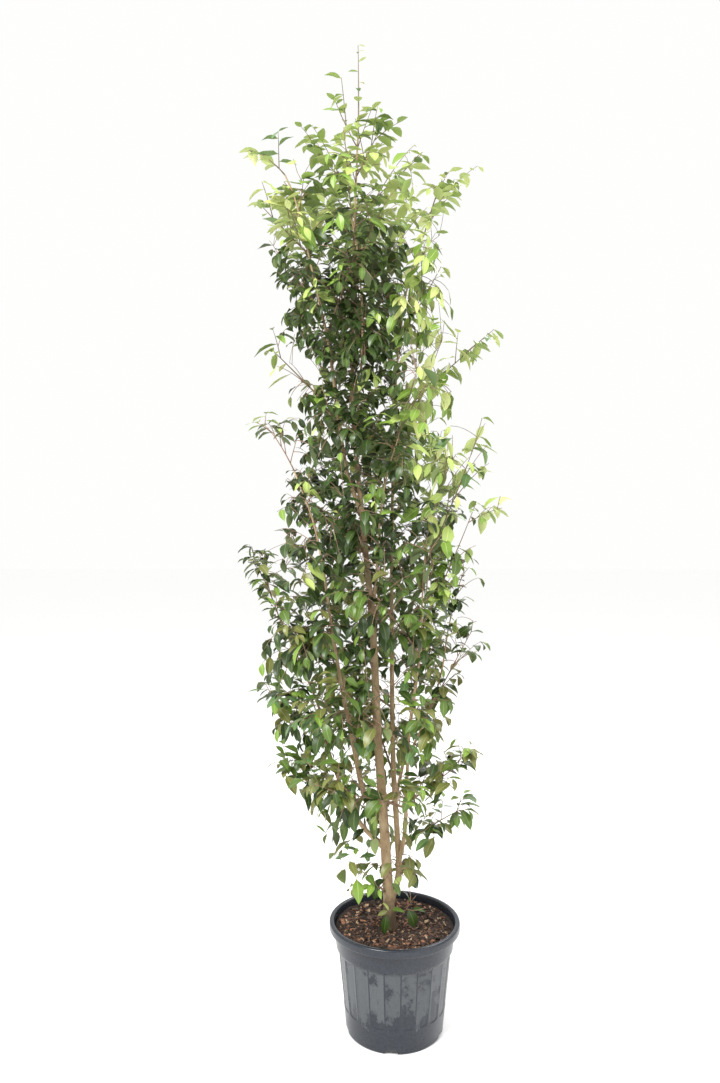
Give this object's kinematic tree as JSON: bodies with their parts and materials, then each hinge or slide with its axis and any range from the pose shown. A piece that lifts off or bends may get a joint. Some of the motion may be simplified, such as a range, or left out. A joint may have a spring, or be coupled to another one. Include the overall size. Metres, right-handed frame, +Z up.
{
  "type": "potted sycoparrotia",
  "caption": "tall narrow evergreen shrub with a forked stem, upright boughs and loose drooping leaves, standing in a fluted round nursery pot",
  "frame": {"origin": "centre of the pot's flat underside", "axes": "+Z is up along the height of the plant, -Y faces the viewer of the picture, +X is to that viewer's right"},
  "size_m": [0.8421, 0.7339, 3.054],
  "materials": {
    "pot_plastic": "satin dark slate moulded plastic with dried water marks",
    "potting_mix": "dark brown composted bark potting mix with paler chips",
    "bark": "thin light brown bark with darker patches and knots",
    "foliage": "slightly glossy dark green leaves, light lime green on the young shoots"
  },
  "bodies": {
    "root": {"pot": "pot_plastic", "soil": "potting_mix", "trunk": "bark", "right_stem": "bark", "left_bough": "bark", "far_left_bough": "bark", "left_leader": "bark", "right_bough": "bark", "far_right_bough": "bark", "back_bough": "bark", "back_right_bough": "bark", "front_bough": "bark", "upper_back_bough": "bark", "upper_front_bough": "bark", "trunk_tip_leaves": "foliage", "right_stem_tip_leaves": "foliage", "left_bough_tip_leaves": "foliage", "far_left_bough_tip_leaves": "foliage", "left_leader_tip_leaves": "foliage", "right_bough_tip_leaves": "foliage", "far_right_bough_tip_leaves": "foliage", "back_bough_tip_leaves": "foliage", "back_right_bough_tip_leaves": "foliage", "front_bough_tip_leaves": "foliage", "upper_back_bough_tip_leaves": "foliage", "upper_front_bough_tip_leaves": "foliage", "top_left_leaves": "foliage", "crown_left_leaves": "foliage", "crown_right_leaves": "foliage", "crown_middle_leaves": "foliage", "shoulder_left_leaves": "foliage", "shoulder_right_leaves": "foliage", "long_right_leaves": "foliage", "high_left_leaves": "foliage", "middle_right_leaves": "foliage", "waist_right_leaves": "foliage", "waist_left_leaves": "foliage", "low_left_leaves": "foliage", "foot_left_leaves": "foliage", "middle_low_right_leaves": "foliage", "low_right_leaves": "foliage", "foot_right_leaves": "foliage", "foot_front_leaves": "foliage", "inner_leaves_01": "foliage", "inner_leaves_02": "foliage", "inner_leaves_03": "foliage", "inner_leaves_04": "foliage", "inner_leaves_05": "foliage", "inner_leaves_06": "foliage", "inner_leaves_07": "foliage", "inner_leaves_08": "foliage", "inner_leaves_09": "foliage", "inner_leaves_10": "foliage", "inner_leaves_11": "foliage", "inner_leaves_12": "foliage", "inner_leaves_13": "foliage", "inner_leaves_14": "foliage", "inner_leaves_15": "foliage", "inner_leaves_16": "foliage", "inner_leaves_17": "foliage"}
  },
  "joints": []
}
